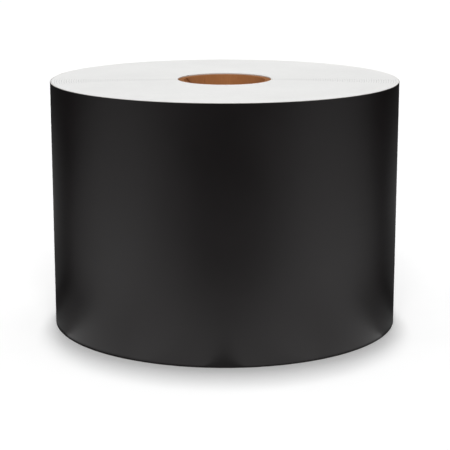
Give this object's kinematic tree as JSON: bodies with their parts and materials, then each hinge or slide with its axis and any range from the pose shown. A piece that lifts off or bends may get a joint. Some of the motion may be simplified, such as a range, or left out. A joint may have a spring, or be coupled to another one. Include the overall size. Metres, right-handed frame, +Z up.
{
  "type": "roll of sign vinyl",
  "caption": "Squat roll of black sign vinyl on its release liner, wound film side out on a spiral paper core and standing on its end; its free end unrolls, peels and is held by a tab.",
  "frame": {"origin": "on the core's axis, at the lower end of the web, on the surface that the roll stands on", "axes": "+Z up along the core's axis; +X to the right and -Y towards the viewer, with the free end of the web at the back left"},
  "size_m": [0.108, 0.1077, 0.0762],
  "materials": {
    "kraft_board": "matte",
    "starter_tape": "satin",
    "wound_web_edge": "matte",
    "release_liner": "satin",
    "black_vinyl": "satin",
    "tab_paper": "matte"
  },
  "bodies": {
    "roll": {"core_inner_ply": "kraft_board", "core_ply_2": "kraft_board", "core_ply_3": "kraft_board", "core_outer_ply": "kraft_board", "starter_tape": "starter_tape", "wound_web": "wound_web_edge", "last_turn_liner": "release_liner", "last_turn_film": "black_vinyl"},
    "tail_1": {"tail_liner_1": "release_liner", "tail_film_1": "black_vinyl"},
    "tail_2": {"tail_liner_2": "release_liner", "tail_film_2": "black_vinyl"},
    "tail_3": {"tail_liner_3": "release_liner", "tail_film_3": "black_vinyl"},
    "tail_4": {"tail_liner_4": "release_liner", "tail_film_4": "black_vinyl"},
    "film_tip_1": {"film_tip_1": "black_vinyl"},
    "film_tip_2": {"film_tip_2": "black_vinyl"},
    "tab": {"end_tab": "tab_paper"}
  },
  "joints": [
    {"name": "tail_lift", "type": "hinge", "parent": "roll", "child": "tail_1", "pos_m": [0.02279, 0.04888, 0.0381], "axis": [0, 0, -1], "range_deg": [0, 12]},
    {"name": "tail_curl_2", "type": "hinge", "parent": "tail_1", "child": "tail_2", "pos_m": [0.0047, 0.05374, 0.0381], "axis": [0, 0, -1], "range_deg": [0, 18]},
    {"name": "tail_curl_3", "type": "hinge", "parent": "tail_2", "child": "tail_3", "pos_m": [-0.01397, 0.05212, 0.0381], "axis": [0, 0, -1], "range_deg": [0, 18]},
    {"name": "tail_curl_4", "type": "hinge", "parent": "tail_3", "child": "tail_4", "pos_m": [-0.03096, 0.04421, 0.0381], "axis": [0, 0, -1], "range_deg": [0, 18]},
    {"name": "film_peel", "type": "hinge", "parent": "tail_4", "child": "film_tip_1", "pos_m": [-0.03817, 0.03817, 0.0381], "axis": [0, 0, -1], "range_deg": [0, 24]},
    {"name": "film_curl", "type": "hinge", "parent": "film_tip_1", "child": "film_tip_2", "pos_m": [-0.04528, 0.0294, 0.0381], "axis": [0, 0, -1], "range_deg": [0, 96]},
    {"name": "tab_peel", "type": "hinge", "parent": "film_tip_2", "child": "tab", "pos_m": [-0.04911, 0.02243, 0.0381], "axis": [0, 0, -1], "range_deg": [0, 60]}
  ],
  "couplings": [
    {"joint": "tail_curl_2", "follows": "tail_lift", "ratio": 1.5},
    {"joint": "tail_curl_3", "follows": "tail_lift", "ratio": 1.5},
    {"joint": "tail_curl_4", "follows": "tail_lift", "ratio": 1.5},
    {"joint": "film_curl", "follows": "film_peel", "ratio": 4}
  ]
}
